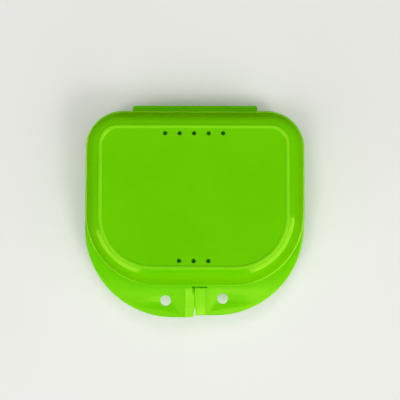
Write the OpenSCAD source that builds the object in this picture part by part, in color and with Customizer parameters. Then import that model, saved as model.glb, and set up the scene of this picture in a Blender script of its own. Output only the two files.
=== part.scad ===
// Orthodontic retainer case: a one-piece moulding with two equal halves,
// a film hinge behind, and a snap latch between two half-crescent thumb tabs.

/* [Case] */
// Width over the rim, side to side
case_w = 80; // [70:1:100]
// Depth over the rim, hinge to latch
case_d = 64; // [56:1:80]
// Height of each half, from the parting plane to its outer face
half_h = 14; // [11:0.5:20]
// Corner radius of the rim at the hinge end
back_r = 13.5; // [11:0.5:18]
// Corner radius of the rim at the latch end
front_r = 26; // [18:0.5:28]
// Wall thickness
wall_t = 1.3; // [0.9:0.1:1.8]

/* [Rim and shoulder] */
// How far the rim lip stands out from the foot of the wall
rim_w = 0.8; // [0.6:0.1:1.4]
// Thickness of the rim lip, the tabs and the latch strips
rim_t = 1.4; // [1:0.1:2]
// Radius on the outer edge of the rim lip
rim_edge_r = 0.3; // [0.1:0.05:0.4]
// Radius of the fillet between the rim lip and the wall
foot_r = 0.5; // [0.2:0.1:0.8]
// Draft of the wall, in degrees from upright
draft = 16; // [8:1:20]
// Radius of the shoulder between the wall and the panel
shoulder_r = 4.5; // [2.5:0.5:6]
// Radius of the bead that frames the panel
bead_r = 1.3; // [1:0.1:1.8]
// Drop from the top of the bead to the panel
panel_drop = 0.3; // [0.2:0.05:0.5]
// Depth of the flat ground on the base's bead, to stand on
foot_flat = 0.1; // [0.05:0.05:0.2]
// Height of the locating lip over the base's rim
seat_h = 1; // [0.6:0.1:1.6]
// Thickness of the locating lip at its top
seat_t = 0.6; // [0.4:0.1:1]
// Clearance between the locating lip and the lid's wall
seat_gap = 0.2; // [0.1:0.05:0.4]

/* [Vents] */
// Diameter of a vent
vent_d = 1.5; // [1:0.1:2.5]
// Distance between vents in a row
vent_pitch = 5; // [3:0.5:7]
// Distance from the inside of the bead to the middle of a vent row
vent_margin = 1.5; // [1.3:0.05:6]
// Vents in the row by the hinge
back_vents = 5; // [1:1:7]
// Vents in the row by the latch
front_vents = 3; // [1:1:5]

/* [Thumb tabs] */
// Corner radius of the crescent that the two tabs make
tab_r = 32.3; // [26:0.1:34]
// Reach of the lid's tab in front of the rim
lid_tab_reach = 11.3; // [9:0.1:14]
// Reach of the base's tab in front of the rim, a little less so that a thumb finds the lid's
base_tab_reach = 10.7; // [9:0.1:14]
// Radius on the outer edge of the tabs
tab_edge_r = 0.4; // [0.1:0.1:0.6]
// Diameter of the cord hole in each tab
hole_d = 4; // [2:0.5:5]
// Distance of each cord hole from the middle
hole_x = 10.4; // [9:0.1:14]
// Distance of each cord hole from the front edge of its tab
hole_edge = 6; // [4:0.1:8]
// Width of the band round the rim from which the tabs grow
root_w = 0.7; // [0.5:0.1:0.9]
// Turn round a tab's edge, in degrees, from where it leaves the root band to the tab's free plate
tip_turn = 12; // [8:1:20]
// How far short of the rim's straight side the crescent's straight side stops
side_stop = 2; // [1.5:0.5:4]

/* [Latch] */
// Distance of the split to the right of the middle
split_x = 0.5; // [0:0.1:1]
// Width of the lid's hook strip, from its crease to the split
hook_w = 3.5; // [3:0.1:4.5]
// Drop of the hook strip from its crease to its edge
hook_drop = 1.45; // [1.3:0.05:1.6]
// Width of the base's tongue, from the split to its crease
tongue_w = 3.6; // [3:0.1:5]
// How far the hook and the tongue each pass the split
latch_lap = 0.25; // [0.15:0.05:0.4]
// Clearance between the tongue and the hook under it
latch_gap = 0.05; // [0.05:0.05:0.2]
// Thickness of the hook strip and the tongue at their creases
latch_t = 1.2; // [1:0.1:1.3]
// Thickness of the hook strip and the tongue at their edges
edge_t = 0.3; // [0.2:0.05:0.6]
// Width of the slit between the base's rim and the tongue
slit_w = 0.25; // [0.2:0.05:0.4]
// Length of the slit past the crease of the tongue
slit_past = 0.6; // [0.3:0.1:1]
// Corner radius on the hook strip beside the slit
hook_corner_r = 1.6; // [0.5:0.1:2]
// Width of the lead-in cut off the hook strip's front corner
hook_lead_w = 1; // [0.8:0.05:1.5]
// Length of the lead-in cut off the hook strip's front corner
hook_lead_l = 7.5; // [4:0.5:8]
// Width of the lead-in cut off the tongue's front corner
tongue_lead_w = 0.4; // [0.2:0.05:0.8]
// Length of the lead-in cut off the tongue's front corner
tongue_lead_l = 2.7; // [1.5:0.1:5]

/* [Hinge] */
// Length of the film hinge and its leaves
hinge_w = 46; // [30:1:50]
// Reach of the folded film behind the rim
hinge_reach = 2.2; // [1.8:0.1:4]
// Thickness of the film and its leaves
film_t = 0.5; // [0.3:0.05:0.6]
// Gap between the two leaves when shut
leaf_gap = 0.4; // [0.2:0.05:0.5]
// How far the film is set in from each end of the leaves
film_inset = 0.6; // [0.2:0.1:2]
// Length of the straight film between the fold and each leaf
film_stub = 0.1; // [0.05:0.05:0.3]

/* [Hidden] */
$fn = 96;
lime = [0.42, 0.79, 0.01];
// Room by which a cut runs past the face that it opens
past = 1;

// The rim's middle, so that the whole shut case is centred on the origin
body_y = (lid_tab_reach - hinge_reach) / 2;
front_y = -case_d / 2;
back_y = case_d / 2;

// Side profile: u runs in from the rim's edge, z runs up from the parting plane.
// The wall leans in from the rim's foot, and the shoulder's arc is tangent to it and to the crown.
crown_z = half_h - panel_drop;
lean = [cos(draft), -sin(draft)];
shoulder_u = rim_w + (shoulder_r + (crown_z - shoulder_r - rim_t) * sin(draft)) / cos(draft);
shoulder_c = [shoulder_u, crown_z - shoulder_r];
panel_u = shoulder_u + bead_r;
// Half the width of the bead where it stands on the panel
bead_half = sqrt(bead_r * bead_r - (bead_r - panel_drop) * (bead_r - panel_drop));
function wall_u(z, inset = 0) = rim_w + (z - rim_t) * tan(draft) + inset / cos(draft);

vent_y = case_d / 2 - shoulder_u - bead_half - vent_margin;

// Folded film
film_r = film_t + leaf_gap / 2;
hinge_y = back_y + hinge_reach - film_r;
leaf_l = hinge_reach - film_r - film_stub;

// Everything in front of the slit starts at the edge of the root band
strip_y = front_y - root_w;
lid_front_y = front_y - lid_tab_reach;
base_front_y = front_y - base_tab_reach;

// Latch strips: crease to edge, and the tongue's underside clears the hook where the tongue ends
hook_x = split_x - hook_w;
tongue_x = split_x + tongue_w;
hook_edge = hook_w + latch_lap;
tongue_edge = tongue_w + latch_lap;
hook_top = rim_t - hook_drop * (hook_w - latch_lap) / hook_edge;
tongue_rise = hook_top + latch_gap + edge_t;

// The four corners of the rim: centre, radius and start angle
corners = [
    [[case_w / 2 - back_r, back_y - back_r], back_r, 0],
    [[back_r - case_w / 2, back_y - back_r], back_r, 90],
    [[front_r - case_w / 2, front_y + front_r], front_r, 180],
    [[case_w / 2 - front_r, front_y + front_r], front_r, 270]
];
// The four straight runs of the rim: middle, length and turn
side_l = case_d - back_r - front_r;
side_y = (front_r - back_r) / 2;
runs = [
    [[0, back_y], case_w - 2 * back_r, 0],
    [[-case_w / 2, side_y], side_l, 90],
    [[0, front_y], case_w - 2 * front_r, 180],
    [[case_w / 2, side_y], side_l, 270]
];

// Sweeps a side profile once round the rim
module round_rim() {
    for (c = corners)
        translate(c[0]) rotate(c[2])
            rotate_extrude(angle = 90) translate([c[1], 0]) mirror([1, 0]) children();
    for (r = runs)
        translate(r[0]) rotate(r[2]) translate([-r[1] / 2, 0, 0])
            rotate([90, 0, 90]) linear_extrude(r[1]) mirror([1, 0]) children();
}

// Outline of the rim, drawn in by an inset
module rim_outline(inset = 0) {
    for (c = corners)
        translate(c[0]) circle(c[1] - inset);
    translate([inset - case_w / 2, front_y + front_r]) square([case_w - 2 * inset, side_l]);
    translate([back_r - case_w / 2, 0]) square([case_w - 2 * back_r, back_y - inset]);
    translate([front_r - case_w / 2, front_y + inset]) square([case_w - 2 * front_r, case_d / 2 - inset]);
}

// Area inside the wall, shoulder and crown, set in by a thickness
module wall_area(inset, bottom) {
    arc_r = shoulder_r - inset;
    top = crown_z - inset;
    far_u = panel_u + past;
    intersection() {
        union() {
            polygon([
                [wall_u(bottom, inset), bottom], shoulder_c - arc_r * lean,
                [shoulder_u, top], [far_u, top], [far_u, bottom]
            ]);
            translate(shoulder_c) circle(arc_r);
        }
        translate([-past, bottom]) square([panel_u + past, half_h - bottom]);
    }
}

// Rim lip with a rounded edge and a fillet up to the wall
module lip_area() {
    fillet_c = [rim_w - foot_r * (1 - sin(draft)) / cos(draft), rim_t + foot_r];
    square([wall_u(rim_t, wall_t), rim_t - rim_edge_r]);
    translate([rim_edge_r, 0]) square([wall_u(rim_t, wall_t) - rim_edge_r, rim_t]);
    translate([rim_edge_r, rim_t - rim_edge_r]) circle(rim_edge_r);
    difference() {
        polygon([fillet_c, [fillet_c[0], rim_t], [rim_w + wall_t / 2, rim_t], fillet_c + foot_r * lean]);
        translate(fillet_c) circle(foot_r);
    }
}

// Bead round the panel, ground flat at the top where it is a foot
module bead_area(flat) {
    difference() {
        translate([shoulder_u, half_h - bead_r + flat]) circle(bead_r);
        if (flat > 0)
            translate([0, half_h]) square([panel_u + past, past]);
    }
}

module side_profile(flat) {
    difference() {
        union() {
            wall_area(0, 0);
            lip_area();
            bead_area(flat);
        }
        wall_area(wall_t, -past);
    }
}

// One half of the case, open at the parting plane
module half_case(flat = 0) {
    round_rim() side_profile(flat);
    translate([0, 0, crown_z - wall_t]) linear_extrude(wall_t) rim_outline(panel_u);
}

// Lip inside the base's rim that keeps the shut lid in place
module seat_area() {
    foot_u = wall_u(seat_h, wall_t) + seat_gap;
    inner_u = foot_u + seat_t;
    // The lip's inner face runs down into the leaning wall and ends inside it
    meet_z = rim_t + (inner_u - rim_w - wall_t / cos(draft)) / tan(draft);
    root_z = meet_z + wall_t;
    polygon([
        [wall_u(0, wall_t / 2), 0], [foot_u, 0], [foot_u, -seat_h], [inner_u, -seat_h],
        [inner_u, root_z], [wall_u(root_z, wall_t / 2), root_z]
    ]);
}

// Middle of the crescent's corner on the left of the split
function tab_c(reach) = [tab_r - case_w / 2, front_y - reach + tab_r];

// Angle below the left at which the crescent's edge leaves the root band
function leave_angle(reach) =
    let (
        band_r = front_r + root_w,
        apart = tab_c(reach) - corners[2][0],
        d = norm(apart)
    )
    atan2(apart[1], apart[0]) + acos((tab_r * tab_r + d * d - band_r * band_r) / (2 * tab_r * d));

// Plate on the left of the split and a little past it, with a rounded outer edge
module crescent(reach) {
    centre = tab_c(reach);
    side_run = front_y + front_r - side_stop - centre[1];
    module edge_area() {
        square([tab_r - tab_edge_r, rim_t]);
        translate([0, tab_edge_r]) square([tab_r, rim_t - 2 * tab_edge_r]);
        for (z = [tab_edge_r, rim_t - tab_edge_r])
            translate([tab_r - tab_edge_r, z]) circle(tab_edge_r);
    }
    translate(centre) rotate(180) rotate_extrude(angle = 90) edge_area();
    translate([hook_w, centre[1], 0]) rotate([90, 0, -90]) linear_extrude(hook_w - centre[0]) edge_area();
    if (side_run > 0)
        translate(centre) rotate([90, 0, 180]) linear_extrude(side_run) edge_area();
}

// Plan of what a half of the case keeps of its tab: a band round the rim, and the thin tip
module root_area(reach) {
    centre = tab_c(reach);
    tip = max(leave_angle(reach), 0) + tip_turn;
    rim_outline(-root_w);
    polygon([
        centre, centre - 2 * tab_r * [cos(tip), sin(tip)],
        [centre[0] - 2 * tab_r, back_y], [centre[0], back_y]
    ]);
}

// Plan of everything on the left of an x
module left_of(x) {
    translate([x - case_w, -case_d]) square([case_w, 2 * case_d]);
}

// Cuts a plan out of the crescent
module cut_crescent(reach) {
    intersection() {
        crescent(reach);
        translate([0, 0, -past]) linear_extrude(rim_t + 2 * past) children();
    }
}

// Part of a tab that a half of the case keeps, as far as an x, and any further plan
module tab_root(reach, end_x) {
    cut_crescent(reach) difference() {
        union() {
            intersection() {
                left_of(end_x);
                root_area(reach);
            }
            children();
        }
        rim_outline(rim_w);
    }
}

// Free part of a tab, with its cord hole
module tab_plate(reach, end_x) {
    cut_crescent(reach) difference() {
        left_of(end_x);
        root_area(reach);
        translate([-hole_x, front_y - reach + hole_edge]) circle(d = hole_d);
    }
}

// Puts a part drawn over the parting plane into the case's frame
module on_lid() {
    translate([0, body_y, half_h]) children();
}

// The same for a part of the base, turned over and with its tab on the right
module on_base() {
    translate([0, body_y, half_h]) mirror([0, 0, 1]) mirror([1, 0, 0]) children();
}

module base_tray() {
    color(lime) on_base() {
        half_case(foot_flat);
        round_rim() seat_area();
        tab_root(base_tab_reach, -tongue_x - slit_past) intersection() {
            left_of(-hook_x);
            rim_outline(slit_w - root_w);
        }
    }
}

module base_thumb_tab() {
    color(lime) on_base() tab_plate(base_tab_reach, -tongue_x);
}

module lid_shell() {
    color(lime) on_lid() difference() {
        union() {
            half_case();
            tab_root(lid_tab_reach, split_x + latch_lap - hook_corner_r);
        }
        for (row = [[back_vents, vent_y], [front_vents, -vent_y]])
            for (i = [0 : row[0] - 1])
                translate([(i - (row[0] - 1) / 2) * vent_pitch, row[1], 0])
                    cylinder(d = vent_d, h = half_h + past);
    }
}

module lid_thumb_tab() {
    color(lime) on_lid() tab_plate(lid_tab_reach, hook_x);
}

// Strip along the split, sloping and thinning from its crease at x = 0 to its edge, cut out by a plan
module latch_strip(edge_x, rise, start_z) {
    intersection() {
        translate([0, strip_y + past, 0]) rotate([90, 0, 0]) linear_extrude(case_d)
            polygon([
                [0, start_z - latch_t], [0, start_z],
                [edge_x, start_z + rise], [edge_x, start_z + rise - edge_t]
            ]);
        linear_extrude(2 * half_h, center = true) children();
    }
}

// Plan of a strip, with a lead-in cut off its front corner
module strip_plan(edge_x, front, lead_w, lead_l) {
    polygon([
        [0, strip_y], [edge_x, strip_y], [edge_x, front + lead_l], [edge_x - lead_w, front], [0, front]
    ]);
}

module lid_latch_hook() {
    color(lime) on_lid() translate([hook_x, 0, 0]) latch_strip(hook_edge, -hook_drop, rim_t) difference() {
        strip_plan(hook_edge, lid_front_y, hook_lead_w, hook_lead_l);
        translate([hook_edge - hook_corner_r, strip_y - hook_corner_r]) difference() {
            square(hook_corner_r + past);
            circle(hook_corner_r);
        }
    }
}

module latch_tongue() {
    color(lime) on_lid() translate([tongue_x, 0, 0]) mirror([1, 0, 0])
        latch_strip(tongue_edge, tongue_rise, 0)
            strip_plan(tongue_edge, base_front_y, tongue_lead_w, tongue_lead_l);
}

// Leaf behind the rim, from the rim to the film
module leaf() {
    translate([-hinge_w / 2, back_y, leaf_gap / 2]) cube([hinge_w, leaf_l, film_t]);
}

module base_hinge_leaf() {
    color(lime) on_base() leaf();
}

module lid_hinge_leaf() {
    color(lime) on_lid() leaf();
}

module living_hinge() {
    film_w = hinge_w - 2 * film_inset;
    color(lime) on_lid() translate([-film_w / 2, hinge_y, 0]) rotate([0, 90, 0]) {
        rotate_extrude(angle = 180) translate([leaf_gap / 2, 0]) square([film_t, film_w]);
        for (side = [0, 1])
            mirror([side, 0, 0]) translate([leaf_gap / 2, -film_stub, 0]) cube([film_t, film_stub, film_w]);
    }
}

base_tray();
base_thumb_tab();
latch_tongue();
base_hinge_leaf();
living_hinge();
lid_hinge_leaf();
lid_shell();
lid_thumb_tab();
lid_latch_hook();
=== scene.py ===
"""Looks of the retainer case: a glossy lime moulding on a pale table, seen from above."""
import math

import bmesh
import bpy
from mathutils import Matrix, Vector
from mathutils.geometry import tessellate_polygon


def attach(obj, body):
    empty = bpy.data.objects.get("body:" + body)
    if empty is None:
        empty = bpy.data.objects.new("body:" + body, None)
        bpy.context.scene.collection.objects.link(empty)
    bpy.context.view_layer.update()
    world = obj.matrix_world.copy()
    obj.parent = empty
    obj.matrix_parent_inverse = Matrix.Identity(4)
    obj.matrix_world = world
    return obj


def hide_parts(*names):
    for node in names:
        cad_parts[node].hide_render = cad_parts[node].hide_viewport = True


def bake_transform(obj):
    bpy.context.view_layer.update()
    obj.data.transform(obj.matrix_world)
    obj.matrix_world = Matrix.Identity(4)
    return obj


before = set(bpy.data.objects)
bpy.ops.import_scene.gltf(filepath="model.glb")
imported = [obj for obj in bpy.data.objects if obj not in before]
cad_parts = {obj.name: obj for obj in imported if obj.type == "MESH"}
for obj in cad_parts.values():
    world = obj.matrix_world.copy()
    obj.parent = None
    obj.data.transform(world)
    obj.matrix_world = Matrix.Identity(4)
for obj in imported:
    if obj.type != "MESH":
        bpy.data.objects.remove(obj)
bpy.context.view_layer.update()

MM = 0.001

# Sizes of the case, in millimetres, as in the construction
CASE_W, CASE_D, HALF_H = 80.0, 64.0, 14.0
BACK_R, FRONT_R, WALL_T = 13.5, 26.0, 1.3
RIM_W, RIM_T, RIM_EDGE_R, FOOT_R = 0.8, 1.4, 0.3, 0.5
DRAFT = math.radians(16)
SHOULDER_R, BEAD_R, PANEL_DROP, FOOT_FLAT = 4.5, 1.3, 0.3, 0.1
SEAT_H, SEAT_T, SEAT_GAP = 1.0, 0.6, 0.2
VENT_D, VENT_PITCH, VENT_MARGIN, BACK_VENTS, FRONT_VENTS = 1.5, 5.0, 1.5, 5, 3
TAB_R, LID_REACH, BASE_REACH, TAB_EDGE_R = 32.3, 11.3, 10.7, 0.4
HOLE_D, HOLE_X, HOLE_EDGE, ROOT_W = 4.0, 10.4, 6.0, 0.7
SPLIT_X, HOOK_W, HOOK_DROP, TONGUE_W = 0.5, 3.5, 1.45, 3.6
LATCH_LAP, LATCH_GAP, LATCH_T, EDGE_T = 0.25, 0.05, 1.2, 0.3
SLIT_PAST, HOOK_CORNER_R = 0.6, 1.6
HOOK_LEAD, TONGUE_LEAD = (1.0, 7.5), (0.4, 2.7)
HINGE_W, HINGE_REACH, FILM_T, LEAF_GAP = 46.0, 2.2, 0.5, 0.4
FILM_STUB = 0.1

# Softening that a mould leaves on edges and creases
PARTING_R = 0.12
HOLE_SOFT = 0.15
STRIP_SOFT = 0.12
CREASE_HALF = 0.25
# The hook strip sags at its back corner, under the tongue: depth, width and length of the sag
HOOK_SAG = (0.9, 2.2, 2.6)
LEAF_SOFT = 0.1
# A leaf's thin root: heights of its underside and top, and where it steps up to the fold
LEAF_ROOT = (0.02, 0.28)
LEAF_RISE = (1.15, 1.25)
# How far the fold's rounded ends stop short of the leaves' ends
FILM_END = 0.25
# The slit behind the tongue, and a thin web of the base tab below it: heights, clearance and reach
SLIT_SHOWN = 0.42
WEB_Z, WEB_GAP, WEB_REACH = (1.38, 1.25), 0.05, 1.7

# Steps of the curves in the meshes
BEAD_STEPS, SHOULDER_STEPS, INSIDE_STEPS, BACK_STEPS, FRONT_STEPS = 28, 36, 24, 30, 44
TAB_STEPS, TAB_ROOT_STEPS, HOLE_STEPS, VENT_STEPS, FOLD_STEPS, RISE_STEPS = 72, 40, 48, 32, 28, 16
EDGE_STEPS, FRONT_EDGE_STEPS, STRIP_EDGE_STEPS, SOFT_STEPS, HOOK_CORNER_STEPS = 8, 6, 5, 4, 10
# Cuts of a latch strip: across its width past the crease, and along its length where it may sag
SPAN_FIRST, SPAN_STEPS, SAG_LAST, SAG_STEPS = 3, 10, 9, 30
# Distances from the ends of flats and straight runs at which smooth shading is held, and a sliver
FLAT_GUARD, RUN_GUARD, SLIVER = 0.08, 0.4, 0.01
# Two outward directions closer than this are the same
SAME_WAY = 1e-9
# A step is long, and gets guards, from this many guards on
LONG_STEP = 6
# Drawn-in ends of a bar: how far in, as a share of the softening, and the share of its section there
BAR_ENDS = ((0.0, 0.72), (0.3, 0.92), (1.0, 1.0))

BODY_Y = (LID_REACH - HINGE_REACH) / 2
FRONT_Y, BACK_Y = -CASE_D / 2, CASE_D / 2
CROWN_Z = HALF_H - PANEL_DROP
SHOULDER_U = RIM_W + (SHOULDER_R + (CROWN_Z - SHOULDER_R - RIM_T) * math.sin(DRAFT)) / math.cos(DRAFT)
SHOULDER_Z = CROWN_Z - SHOULDER_R
PANEL_U = SHOULDER_U + BEAD_R
BEAD_HALF = math.sqrt(BEAD_R ** 2 - (BEAD_R - PANEL_DROP) ** 2)
VENT_Y = CASE_D / 2 - SHOULDER_U - BEAD_HALF - VENT_MARGIN
FILM_R = FILM_T + LEAF_GAP / 2
FOLD_Y = BACK_Y + HINGE_REACH - FILM_R
STRIP_Y = FRONT_Y - ROOT_W
HOOK_X, TONGUE_X = SPLIT_X - HOOK_W, SPLIT_X + TONGUE_W
HOOK_EDGE, TONGUE_EDGE = HOOK_W + LATCH_LAP, TONGUE_W + LATCH_LAP
HOOK_TOP = RIM_T - HOOK_DROP * (HOOK_W - LATCH_LAP) / HOOK_EDGE
TONGUE_RISE = HOOK_TOP + LATCH_GAP + EDGE_T

# Rim corners: centre, radius and first angle, anticlockwise from the back right
CORNERS = [
    (CASE_W / 2 - BACK_R, BACK_Y - BACK_R, BACK_R, 0),
    (BACK_R - CASE_W / 2, BACK_Y - BACK_R, BACK_R, 90),
    (FRONT_R - CASE_W / 2, FRONT_Y + FRONT_R, FRONT_R, 180),
    (CASE_W / 2 - FRONT_R, FRONT_Y + FRONT_R, FRONT_R, 270),
]


def arc(cx, cy, r, first, last, steps):
    """Points on an arc, ends included, in degrees."""
    turn = (last - first) / steps
    angles = [math.radians(first + turn * i) for i in range(steps + 1)]
    return [(cx + r * math.cos(a), cy + r * math.sin(a)) for a in angles]


def quarter(steps):
    """Angles of a quarter turn, ends included."""
    return [math.pi / 2 * i / steps for i in range(steps + 1)]


def smooth(t):
    """An even rise from 0 to 1, level at both ends and outside them."""
    t = min(max(t, 0), 1)
    return t * t * (3 - 2 * t)


def wall_u(z, inset=0.0):
    """Inset of the drafted wall at a height; an inset moves it squarely inward."""
    return RIM_W + (z - RIM_T) * math.tan(DRAFT) + inset / math.cos(DRAFT)


def with_guards(points, guard):
    """Adds a point near both ends of every long step, so that smooth shading keeps flats flat."""
    out = []
    for a, b in zip(points, points[1:]):
        out.append(a)
        length = math.dist(a, b)
        if length > LONG_STEP * guard:
            shares = (guard / length, 1 - guard / length)
            out += [tuple(p + (q - p) * k for p, q in zip(a, b)) for k in shares]
    return out + [points[-1]]


def outer_side(flat):
    """Outside of a half from the panel out and down to the parting plane, as (inset, height)."""
    bead_z = HALF_H - BEAD_R + flat
    reach_in = math.degrees(math.asin((CROWN_Z - bead_z) / BEAD_R))
    apart = bead_z - SHOULDER_Z
    along = (SHOULDER_R ** 2 - BEAD_R ** 2 + apart ** 2) / (2 * apart)
    half = math.sqrt(SHOULDER_R ** 2 - along ** 2)
    reach_out = math.degrees(math.atan2(SHOULDER_Z + along - bead_z, -half))
    bead = arc(SHOULDER_U, bead_z, BEAD_R, reach_in, reach_out, BEAD_STEPS)
    if flat:
        bead = [(u, min(z, HALF_H)) for u, z in bead]
    meet = math.degrees(math.atan2(along, -half))
    shoulder = arc(SHOULDER_U, SHOULDER_Z, SHOULDER_R, meet, 180 - math.degrees(DRAFT), SHOULDER_STEPS)
    fillet_u = RIM_W - FOOT_R * (1 - math.sin(DRAFT)) / math.cos(DRAFT)
    fillet = arc(fillet_u, RIM_T + FOOT_R, FOOT_R, -math.degrees(DRAFT), -90, EDGE_STEPS)
    edge = arc(RIM_EDGE_R, RIM_T - RIM_EDGE_R, RIM_EDGE_R, 90, 180, EDGE_STEPS)
    parting = arc(PARTING_R, PARTING_R, PARTING_R, 180, 270, SOFT_STEPS)
    return [(PANEL_U, CROWN_Z)] + bead + shoulder[1:] + fillet + edge + parting


def inner_side(first_z):
    """Inside of a half from a height near the parting plane up to the ceiling."""
    r = SHOULDER_R - WALL_T
    shoulder = arc(SHOULDER_U, SHOULDER_Z, r, 180 - math.degrees(DRAFT), 90, INSIDE_STEPS)
    return [(wall_u(first_z, WALL_T), first_z)] + shoulder + [(PANEL_U, CROWN_Z - WALL_T)]


def rim_path():
    """Stations round the rim: a centre, a radius and an outward direction for each."""
    stations = []
    for cx, cy, r, first in CORNERS:
        steps = BACK_STEPS if r == BACK_R else FRONT_STEPS
        for i in range(steps + 1):
            a = math.radians(first + 90 * i / steps)
            stations.append((cx, cy, r, math.cos(a), math.sin(a)))
    out = []
    for k, s in enumerate(stations):
        out.append(s)
        t = stations[(k + 1) % len(stations)]
        if math.dist(s[3:], t[3:]) < SAME_WAY:
            # a straight run: the same radius with a centre that slides along
            edge_s = (s[0] + (s[2] - t[2]) * s[3], s[1] + (s[2] - t[2]) * s[4])
            run = (t[0] - edge_s[0], t[1] - edge_s[1])
            length = math.hypot(*run)
            for share in (RUN_GUARD / length, 0.25, 0.5, 0.75, 1 - RUN_GUARD / length):
                out.append((edge_s[0] + run[0] * share, edge_s[1] + run[1] * share, t[2], s[3], s[4]))
    return out


RIM = rim_path()


def rim_ring(u):
    """The rim's plan, moved inward by an inset."""
    return [(cx + (r - u) * nx, cy + (r - u) * ny) for cx, cy, r, nx, ny in RIM]


def lid_place(p):
    """Rim-centred millimetres, height over the parting plane, to the row frame in metres."""
    return (p[0] * MM, (p[1] + BODY_Y) * MM, (HALF_H + p[2]) * MM)


def base_place(p):
    """The same for the base: turned over, with its tab on the right."""
    return (-p[0] * MM, (p[1] + BODY_Y) * MM, (HALF_H - p[2]) * MM)


def make_piece(name, points, faces, material, smooth_deg=32):
    """A mesh with outward faces and smooth shading up to an angle."""
    mesh = bpy.data.meshes.new(name)
    mesh.from_pydata(points, [], faces)
    mesh.validate()
    obj = bpy.data.objects.new(name, mesh)
    bpy.context.scene.collection.objects.link(obj)
    mesh.polygons.foreach_set("use_smooth", [True] * len(mesh.polygons))
    mesh.set_sharp_from_angle(angle=math.radians(smooth_deg))
    mesh.materials.append(material)
    return obj


class Builder:
    """Collects points and faces of one closed mesh."""

    def __init__(self, place):
        self.place = place
        self.points = []
        self.faces = []

    def loop(self, points):
        first = len(self.points)
        self.points += [self.place(p) for p in points]
        return list(range(first, len(self.points)))

    def bridge(self, a, b, closed=True):
        n = len(a)
        for i in range(n if closed else n - 1):
            j = (i + 1) % n
            self.faces.append((a[i], a[j], b[j], b[i]))

    def cap(self, loops, flat_points, turned):
        """Fills an outer loop round its holes; flat_points are the loops in plan."""
        ids = [i for loop in loops for i in loop]
        for tri in tessellate_polygon([[Vector((x, y, 0)) for x, y in loop] for loop in flat_points]):
            self.faces.append(tuple(ids[i] for i in (reversed(tri) if turned else tri)))

    def finish(self, name, material, body, *nodes):
        obj = make_piece(name, self.points, self.faces, material)
        face_out(obj)
        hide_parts(*nodes)
        if body:
            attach(obj, body)
        return obj


def face_out(obj):
    """Turns all faces outward."""
    bm = bmesh.new()
    bm.from_mesh(obj.data)
    bmesh.ops.recalc_face_normals(bm, faces=bm.faces)
    bm.to_mesh(obj.data)
    bm.free()


def circle(x, y, r, steps):
    return arc(x, y, r, 0, 360 * (steps - 1) / steps, steps - 1)


def shell(name, place, outer, inner, holes, material, body, node):
    """A half of the case: its side profile swept round the rim, its panel, and any vents."""
    profile = with_guards(outer + inner, FLAT_GUARD)
    b = Builder(place)
    rings = [b.loop([(x, y, z) for x, y in rim_ring(u)]) for u, z in profile]
    for a, c in zip(rings, rings[1:]):
        b.bridge(a, c)
    plan = rim_ring(PANEL_U)
    tops, bottoms = [], []
    for x, y in holes:
        ring = circle(x, y, VENT_D / 2, VENT_STEPS)
        tops.append(b.loop([(px, py, CROWN_Z) for px, py in ring]))
        bottoms.append(b.loop([(px, py, CROWN_Z - WALL_T) for px, py in ring]))
        b.bridge(tops[-1], bottoms[-1])
    flats = [plan] + [circle(x, y, VENT_D / 2, VENT_STEPS) for x, y in holes]
    b.cap([rings[0]] + tops, flats, False)
    b.cap([rings[-1]] + bottoms, flats, True)
    return b.finish(name, material, body, node)


def tab(name, place, reach, notch, web, material, body, node):
    """A half-crescent tab from the rim's edge out, with a rounded edge and a cord hole.

    The notch is its plan beside the split, from the front in; a web is the plan of a thin floor in it.
    """
    end_x = notch[0][0]
    cx, cy = TAB_R - CASE_W / 2, FRONT_Y - reach + TAB_R
    corner_x, corner_y, corner_r, _ = CORNERS[2]
    inner_r = corner_r - RIM_EDGE_R
    # the tip ends where the flat of the tab runs into the flat of the rim
    tip_turn = math.acos((CASE_W / 2 - TAB_EDGE_R + corner_x) / inner_r)
    tip_y = corner_y - inner_r * math.sin(tip_turn)
    levels = [(TAB_EDGE_R - TAB_EDGE_R * math.sin(t), RIM_T - TAB_EDGE_R + TAB_EDGE_R * math.cos(t))
              for t in quarter(EDGE_STEPS)]
    levels += [(d, RIM_T - z) for d, z in reversed(levels)]
    inner = notch + [(notch[-1][0], FRONT_Y + RIM_EDGE_R)]
    inner += arc(corner_x, corner_y, inner_r, 180 + math.degrees(tip_turn), 270, TAB_ROOT_STEPS)[::-1]

    def outline(d):
        side = [(-CASE_W / 2 + d, tip_y), (-CASE_W / 2 + d, (tip_y + cy) / 2)] if tip_y > cy else []
        edge = arc(cx, cy, TAB_R - d, 180, 270, TAB_STEPS)
        return side + edge + [(end_x, cy - TAB_R + d)] + inner

    b = Builder(place)
    loops = [b.loop([(x, y, z) for x, y in outline(d)]) for d, z in levels]
    for a, c in zip(loops, loops[1:]):
        b.bridge(a, c)
    hole = (-HOLE_X, FRONT_Y - reach + HOLE_EDGE)
    soft = [(HOLE_SOFT * (1 - math.sin(t)), HOLE_SOFT * (1 - math.cos(t))) for t in quarter(SOFT_STEPS)]
    steps = [(s, RIM_T - h) for s, h in soft] + [(s, h) for s, h in reversed(soft)]
    rings = [b.loop([(x, y, z) for x, y in circle(*hole, HOLE_D / 2 + s, HOLE_STEPS)]) for s, z in steps]
    for a, c in zip(rings, rings[1:]):
        b.bridge(a, c)
    top = [outline(levels[0][0]), circle(*hole, HOLE_D / 2 + HOLE_SOFT, HOLE_STEPS)]
    b.cap([loops[0], rings[0]], top, False)
    b.cap([loops[-1], rings[-1]], top, True)
    if web:
        sides = [b.loop([(x, y, z) for x, y in web]) for z in WEB_Z]
        b.bridge(*sides)
        b.faces += [tuple(sides[0]), tuple(reversed(sides[1]))]
    return b.finish(name, material, body, node)


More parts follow.
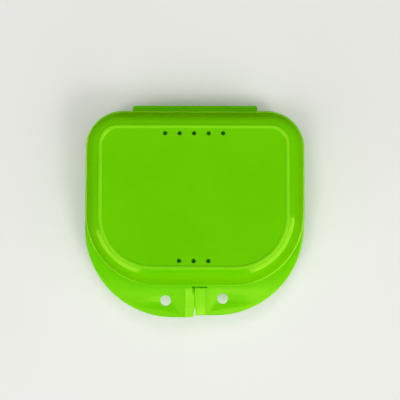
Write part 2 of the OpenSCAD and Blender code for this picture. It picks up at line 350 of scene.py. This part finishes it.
def strip(name, place, edge_x, rise, top_z, front, lead, corner_r, sag, material, body, node):
    """A latch strip from a soft crease at x = 0 to its edge, with a lead-in and rounded edges."""
    lead_w, lead_l = lead
    slope = rise / edge_x
    turn = math.atan(slope)
    bend_r = CREASE_HALF / math.tan(abs(turn) / 2)

    def top_at(x):
        if x <= -CREASE_HALF:
            return top_z
        if x < CREASE_HALF * math.cos(turn):
            run = x + CREASE_HALF
            return top_z + math.copysign(bend_r - math.sqrt(bend_r ** 2 - run ** 2), rise)
        return top_z + slope * x

    def back_at(x):
        over = x - (edge_x - corner_r)
        if corner_r == 0 or over <= 0:
            return STRIP_Y
        return STRIP_Y - corner_r + math.sqrt(max(corner_r ** 2 - over ** 2, 0))

    def front_at(x):
        over = x - (edge_x - lead_w)
        return front + max(over, 0) * lead_l / lead_w

    def drop_at(x, y):
        depth, wide, far = sag
        return depth * smooth((x - edge_x) / wide + 1) * smooth((y - STRIP_Y) / far + 1)

    crease = [-CREASE_HALF + 2 * CREASE_HALF * i / EDGE_STEPS for i in range(EDGE_STEPS + 1)]
    span = [edge_x * k / SPAN_STEPS for k in range(SPAN_FIRST, SPAN_STEPS)]
    bend = [edge_x - lead_w - SLIVER, edge_x - lead_w + SLIVER]
    if corner_r:
        bend += [edge_x - corner_r + corner_r * math.sin(t) for t in quarter(HOOK_CORNER_STEPS)[:-1]]
    xs = sorted(x for x in crease + span + bend if x < edge_x - STRIP_SOFT)
    columns = [(x, 0.0) for x in xs]
    columns += [(edge_x - STRIP_SOFT + STRIP_SOFT * math.sin(t), STRIP_SOFT * (1 - math.cos(t)))
                for t in quarter(STRIP_EDGE_STEPS)]
    b = Builder(place)
    loops = []
    for x, inset in columns:
        thick = LATCH_T + (EDGE_T - LATCH_T) * max(x, 0) / edge_x
        lo, hi = top_at(x) - thick + inset, top_at(x) - inset
        y0, y1 = front_at(x) + inset, back_at(x) - inset
        front_soft = min(TAB_EDGE_R, (hi - lo) / 2 - SLIVER)
        back_soft = min(STRIP_SOFT, (hi - lo) / 2 - SLIVER)
        section = arc(y0 + front_soft, hi - front_soft, front_soft, 90, 180, FRONT_EDGE_STEPS)
        section += arc(y0 + front_soft, lo + front_soft, front_soft, 180, 270, FRONT_EDGE_STEPS)
        section += arc(y1 - back_soft, lo + back_soft, back_soft, 270, 360, SOFT_STEPS)
        section += arc(y1 - back_soft, hi - back_soft, back_soft, 0, 90, SOFT_STEPS)
        flat_l = y1 - back_soft - y0 - front_soft
        section += [(y1 - back_soft - flat_l * k / SAG_STEPS, hi) for k in range(1, SAG_LAST + 1)]
        loops.append(b.loop([(x, y, z - drop_at(x, y)) for y, z in section]))
    for a, c in zip(loops, loops[1:]):
        b.bridge(a, c)
    b.faces.append(tuple(loops[0]))
    b.faces.append(tuple(reversed(loops[-1])))
    return b.finish(name, material, body, node)


def bar(name, place, width, section, material, body, node):
    """A strip along X with a constant section in Y and Z and slightly drawn-in ends."""
    cy = sum(y for y, _ in section) / len(section)
    cz = sum(z for _, z in section) / len(section)
    b = Builder(place)
    ends = [(-width / 2 + LEAF_SOFT * share, k) for share, k in BAR_ENDS]
    stations = ends + [(-x, k) for x, k in reversed(ends)]
    loops = []
    for x, k in stations:
        loops.append(b.loop([(x, cy + (y - cy) * k, cz + (z - cz) * k) for y, z in section]))
    for a, c in zip(loops, loops[1:]):
        b.bridge(a, c)
    b.faces.append(tuple(loops[0]))
    b.faces.append(tuple(reversed(loops[-1])))
    return b.finish(name, material, body, node)


def leaf_section():
    """A hinge leaf: a low thin root behind the rim, then a step up to the fold."""
    y0, y1 = BACK_Y - RIM_EDGE_R / 2, FOLD_Y - FILM_STUB
    low, high = [(y0, LEAF_ROOT[0])], [(y0, LEAF_ROOT[1])]
    for i in range(RISE_STEPS + 1):
        run = i / RISE_STEPS
        t = smooth(run)
        y = BACK_Y + LEAF_RISE[0] + (LEAF_RISE[1] - LEAF_RISE[0]) * run
        low.append((y, LEAF_ROOT[0] + (LEAF_GAP / 2 - LEAF_ROOT[0]) * t))
        high.append((y, LEAF_ROOT[1] + (LEAF_GAP / 2 + FILM_T - LEAF_ROOT[1]) * t))
    ends = [(y1, LEAF_GAP / 2), (y1, LEAF_GAP / 2 + FILM_T)]
    return low + ends + high[::-1]


def film_section():
    """The folded film: a half ring with straight ends that meet the leaves."""
    inner, outer = LEAF_GAP / 2, LEAF_GAP / 2 + FILM_T
    stub_y = FOLD_Y - FILM_STUB
    ring = [(stub_y, -outer)] + arc(FOLD_Y, 0, outer, -90, 90, FOLD_STEPS) + [(stub_y, outer)]
    back = [(stub_y, inner)] + arc(FOLD_Y, 0, inner, 90, -90, FOLD_STEPS) + [(stub_y, -inner)]
    return ring + back


# Finish: colour of the gloss, facing values between which it fades, and its roughness
GLOSS, GLOSS_FADE, GLOSS_ROUGH, SCUFF_ROUGH = (0.142, 0.167, 0.017, 1.0), (0.2, 0.36), (0.09, 0.13), 0.38
# Depths below a crest's top where scuffing begins and is full
SCUFF_DEPTH = (0.2, 0.14)
# Behind this line the hinge is dull; the finish changes over the second value
HINGE_DULL = (BODY_Y + BACK_Y + 0.05, 0.1)
# Shares of the light that the outside lets into the wall and the inside lets out of it
LET_IN, LET_OUT = 0.09, 1.0


class Nodes:
    """Short ways to add and join shader nodes."""

    def __init__(self, material):
        self.tree = material.node_tree
        self.tree.nodes.clear()

    def add(self, kind, **inputs):
        node = self.tree.nodes.new(kind)
        for key, value in inputs.items():
            name = key.replace("_", " ")
            node.inputs[name].default_value = value
        return node

    def calculate(self, operation):
        node = self.add("ShaderNodeMath")
        node.operation = operation
        return node

    def link(self, a, out, b, into):
        self.tree.links.new(a.outputs[out], b.inputs[into])


def ramp(nodes, low, high, low_color, high_color):
    """A colour ramp between two places."""
    r = nodes.add("ShaderNodeValToRGB")
    r.color_ramp.elements[0].position = low
    r.color_ramp.elements[0].color = low_color
    r.color_ramp.elements[1].position = high
    r.color_ramp.elements[1].color = high_color
    return r


def srgb(r, g, b):
    """Linear colour from an sRGB byte colour."""
    lin = [(v / 255 / 12.92) if v <= 10 else ((v / 255 + 0.055) / 1.055) ** 2.4 for v in (r, g, b)]
    return (*lin, 1.0)


def lime_polypropylene():
    """Glossy moulded polypropylene: faint flow marks, orange peel, some depth, dull crests and hinge."""
    material = bpy.data.materials.new("lime_polypropylene")
    material.use_nodes = True
    n = Nodes(material)
    coords = n.add("ShaderNodeTexCoord")
    flow = n.add("ShaderNodeTexNoise", Scale=38.0, Detail=3.0, Roughness=0.5, Distortion=0.6)
    tint = ramp(n, 0.3, 0.72, srgb(110, 209, 0), srgb(115, 213, 0))
    gloss = n.add("ShaderNodeTexNoise", Scale=160.0, Detail=4.0, Roughness=0.55)
    sheen = n.add("ShaderNodeMapRange", From_Min=0.3, From_Max=0.7)
    sheen.inputs["To Min"].default_value, sheen.inputs["To Max"].default_value = GLOSS_ROUGH
    place = n.add("ShaderNodeSeparateXYZ")
    from_parting = n.calculate("SUBTRACT")
    from_parting.inputs[1].default_value = HALF_H * MM
    height = n.calculate("ABSOLUTE")
    scuff_from, scuff_full = ((HALF_H - depth) * MM for depth in SCUFF_DEPTH)
    crest = n.add("ShaderNodeMapRange", From_Min=scuff_from, From_Max=scuff_full)
    scuff = n.add("ShaderNodeMix", B=SCUFF_ROUGH)
    peel = n.add("ShaderNodeTexNoise", Scale=900.0, Detail=2.0, Roughness=0.5)
    bump = n.add("ShaderNodeBump", Strength=0.03, Distance=0.0001)
    lean = n.add("ShaderNodeLayerWeight", Blend=0.5)
    hinge = n.add("ShaderNodeMapRange", From_Min=HINGE_DULL[0] * MM, From_Max=sum(HINGE_DULL) * MM)
    fade = n.calculate("ADD")
    shine = ramp(n, *GLOSS_FADE, GLOSS, (0.0, 0.0, 0.0, 1.0))
    coat = n.add("ShaderNodeBsdfAnisotropic")
    shader = n.add("ShaderNodeBsdfPrincipled", Specular_IOR_Level=0.0)
    shader.inputs["Subsurface Weight"].default_value = 0.5
    shader.inputs["Subsurface Radius"].default_value = (0.6, 1.0, 0.1)
    shader.inputs["Subsurface Scale"].default_value = 0.0005
    glow = n.add("ShaderNodeBsdfTranslucent", Color=(0.4, 0.81, 0.05, 1.0))
    side = n.add("ShaderNodeNewGeometry")
    share = n.add("ShaderNodeMapRange", To_Min=LET_IN, To_Max=LET_OUT)
    body = n.add("ShaderNodeAddShader")
    mix = n.add("ShaderNodeMixShader")
    out = n.add("ShaderNodeOutputMaterial")
    for texture in (flow, gloss, peel):
        n.link(coords, "Object", texture, "Vector")
    n.link(flow, "Fac", tint, "Fac")
    n.link(tint, "Color", shader, "Base Color")
    n.link(gloss, "Fac", sheen, "Value")
    # the crests of the bead and of the foot are scuffed dull
    n.link(coords, "Object", place, "Vector")
    n.link(place, "Z", from_parting, 0)
    n.link(from_parting, "Value", height, 0)
    n.link(height, "Value", crest, "Value")
    n.link(crest, "Result", scuff, "Factor")
    n.link(sheen, "Result", scuff, "A")
    n.link(scuff, "Result", coat, "Roughness")
    # the hinge is dull from folding
    n.link(place, "Y", hinge, "Value")
    n.link(lean, "Facing", fade, 0)
    n.link(hinge, "Result", fade, 1)
    n.link(fade, "Value", shine, "Fac")
    n.link(shine, "Color", coat, "Color")
    n.link(peel, "Fac", bump, "Height")
    n.link(bump, "Normal", coat, "Normal")
    n.link(shader, "BSDF", body, 0)
    n.link(coat, "BSDF", body, 1)
    # light goes into the wall through its outside and leaves it freely on the other side
    n.link(side, "Backfacing", share, "Value")
    n.link(share, "Result", mix, "Fac")
    n.link(body, "Shader", mix, 1)
    n.link(glow, "BSDF", mix, 2)
    n.link(mix, "Shader", out, "Surface")
    return material


def table_top():
    """A pale matt table with a faint cloudiness."""
    material = bpy.data.materials.new("pale_table")
    material.use_nodes = True
    n = Nodes(material)
    coords = n.add("ShaderNodeTexCoord")
    cloud = n.add("ShaderNodeTexNoise", Scale=6.0, Detail=3.0, Roughness=0.5)
    tint = ramp(n, 0.3, 0.7, srgb(236, 236, 232), srgb(240, 240, 237))
    shader = n.add("ShaderNodeBsdfPrincipled", Roughness=0.7, Specular_IOR_Level=0.2)
    out = n.add("ShaderNodeOutputMaterial")
    n.link(coords, "Object", cloud, "Vector")
    n.link(cloud, "Fac", tint, "Fac")
    n.link(tint, "Color", shader, "Base Color")
    n.link(shader, "BSDF", out, "Surface")
    return material


lime = lime_polypropylene()

# Lid
vents = [((i - (count - 1) / 2) * VENT_PITCH, y)
         for count, y in ((BACK_VENTS, VENT_Y), (FRONT_VENTS, -VENT_Y)) for i in range(count)]
shell("lid_shell_skin", lid_place, outer_side(0), inner_side(0), vents, lime, "lid", "lid_shell")
band_x = SPLIT_X + LATCH_LAP - HOOK_CORNER_R
tab("lid_tab_skin", lid_place, LID_REACH, [(HOOK_X - CREASE_HALF, STRIP_Y), (band_x, STRIP_Y)],
    None, lime, "lid", "lid_thumb_tab")


def hook_place(p):
    return lid_place((p[0] + HOOK_X, p[1], p[2]))


strip("lid_hook_skin", hook_place, HOOK_EDGE, -HOOK_DROP, RIM_T, FRONT_Y - LID_REACH, HOOK_LEAD,
      HOOK_CORNER_R, HOOK_SAG, lime, "lid", "lid_latch_hook")
bar("lid_leaf_skin", lid_place, HINGE_W, leaf_section(), lime, "lid", "lid_hinge_leaf")

# Base, with the locating lip inside its rim
lip_u = wall_u(SEAT_H, WALL_T) + SEAT_GAP
lip_in = lip_u + SEAT_T
meet_z = RIM_T + (lip_in - RIM_W - WALL_T / math.cos(DRAFT)) / math.tan(DRAFT)
lip = [(lip_u, 0), (lip_u, -SEAT_H + PARTING_R), (lip_u + PARTING_R, -SEAT_H),
       (lip_in - PARTING_R, -SEAT_H), (lip_in, -SEAT_H + PARTING_R)]
shell("base_tray_skin", base_place, outer_side(FOOT_FLAT), lip + inner_side(meet_z), [],
      lime, "base", "base_tray")
slit_end = -TONGUE_X - SLIT_PAST
slit = [(-TONGUE_X - CREASE_HALF, STRIP_Y), (slit_end, STRIP_Y), (slit_end, STRIP_Y + SLIT_SHOWN),
        (-HOOK_X, STRIP_Y + SLIT_SHOWN)]
web_end, web_front, web_back = slit_end - WEB_GAP, STRIP_Y - WEB_REACH, STRIP_Y + SLIT_SHOWN + WEB_GAP
web = [(web_end, web_front), (-band_x, web_front), (-band_x, web_back), (web_end, web_back)]
tab("base_tab_skin", base_place, BASE_REACH, slit, web, lime, "base", "base_thumb_tab")
bar("base_leaf_skin", base_place, HINGE_W, leaf_section(), lime, "base", "base_hinge_leaf")


def tongue_place(p):
    return lid_place((TONGUE_X - p[0], p[1], p[2]))


tongue = strip("tongue_skin", tongue_place, TONGUE_EDGE, TONGUE_RISE, 0.0, FRONT_Y - BASE_REACH,
               TONGUE_LEAD, 0, (0, 1, 1), lime, None, "latch_tongue")
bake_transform(tongue)
film = bar("film_skin", lid_place, HINGE_W - 2 * FILM_END, film_section(), lime, None, "living_hinge")
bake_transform(film)

# Table
TABLE_W = 10.0
bpy.ops.mesh.primitive_plane_add(size=TABLE_W, location=(0, 0, 0))
table = bpy.context.object
table.name = "table"
table.data.materials.append(table_top())


# Lamps, in metres and watts
WINDOW_FAR, PANEL_UP = 1.6, 1.2
DAYLIGHT = (1.0, 0.99, 0.97)


def area_lamp(name, width, length, watts):
    """A rectangular lamp that belongs to the stage."""
    data = bpy.data.lights.new(name, "AREA")
    data.shape = "RECTANGLE"
    data.size, data.size_y, data.energy = width, length, watts
    obj = bpy.data.objects.new(name, data)
    bpy.context.scene.collection.objects.link(obj)
    return obj


def window(name, azimuth, low, high, width, watts):
    """An upright soft panel between two heights; azimuth 0 is in front and 90 on the right."""
    a = math.radians(azimuth)
    out = Vector((math.sin(a), -math.cos(a), 0))
    across = Vector((math.cos(a), math.sin(a), 0))
    rise = Vector((0, 0, 1))
    obj = area_lamp(name, width, high - low, watts)
    obj.data.color = DAYLIGHT
    turn = Matrix((across, rise, across.cross(rise))).transposed().to_4x4()
    obj.matrix_world = Matrix.Translation(out * WINDOW_FAR + rise * (low + high) / 2) @ turn


def overhead(name, x, y, watts, in_gloss):
    """A flat panel over the case, from its extents in X and Y; without gloss it only lights."""
    obj = area_lamp(name, x[1] - x[0], y[1] - y[0], watts)
    obj.location = ((x[0] + x[1]) / 2, (y[0] + y[1]) / 2, PANEL_UP)
    obj.visible_glossy = in_gloss


# Windows give the long highlights on the front corners
window("left_window", -48, 0.5, 3.4, 1.67, 18.5)
window("right_window", 54, 0.45, 1.6, 2.16, 11.5)
window("right_window_top", 54, 1.6, 4.4, 2.16, 19.5)
# Main light, from the front at both sides, with a little from the back
overhead("key_right", (0.55, 0.95), (-0.95, -0.55), 6.0, False)
overhead("key_left", (-0.64, -0.24), (-0.64, -0.24), 4.0, False)
overhead("fill_back", (-0.2, 0.2), (0.43, 0.83), 2.4, False)
# Weak panels round the camera, seen on the bead and the tabs
overhead("soft_right", (0.0, 0.9), (-0.6, -0.17), 0.95, True)
overhead("soft_left", (-0.7, 0.0), (-0.6, -0.17), 0.33, True)
overhead("rim_right", (0.31, 0.58), (-0.17, 0.45), 1.05, True)
overhead("rim_left", (-0.62, -0.38), (-0.17, 0.45), 1.2, True)
overhead("rim_back", (-0.36, 0.36), (0.34, 0.54), 0.8, True)

world = bpy.data.worlds.new("room")
bpy.context.scene.world = world
world.use_nodes = True
world.node_tree.nodes["Background"].inputs["Color"].default_value = (1.0, 0.98, 0.94, 1.0)
world.node_tree.nodes["Background"].inputs["Strength"].default_value = 0.04

# Camera almost straight above, a little in front of the middle: place in millimetres, turn in degrees
CAMERA_AT = (4.30, -2.92, 219.55)
CAMERA_TILT, CAMERA_PAN, CAMERA_ROLL = 1.91, -0.65, 0.20
camera = bpy.data.cameras.new("photo_view")
camera.lens, camera.sensor_width = 50.4, 36.0
camera.clip_start, camera.clip_end = 0.01, 10.0
eye = bpy.data.objects.new("photo_view", camera)
bpy.context.scene.collection.objects.link(eye)
tilt, pan, roll = (math.radians(v) for v in (CAMERA_TILT, CAMERA_PAN, CAMERA_ROLL))
look = Vector((0, math.sin(tilt), -math.cos(tilt)))
up = Vector((0, math.cos(tilt), math.sin(tilt)))
right = Vector((1, 0, 0))
look, right = look * math.cos(pan) + right * math.sin(pan), right * math.cos(pan) - look * math.sin(pan)
right, up = right * math.cos(roll) + up * math.sin(roll), up * math.cos(roll) - right * math.sin(roll)
turn = Matrix((right, up, -look)).transposed().to_4x4()
eye.matrix_world = Matrix.Translation(Vector(CAMERA_AT) * MM) @ turn
bpy.context.scene.camera = eye
bpy.context.scene.view_settings.view_transform = "Standard"
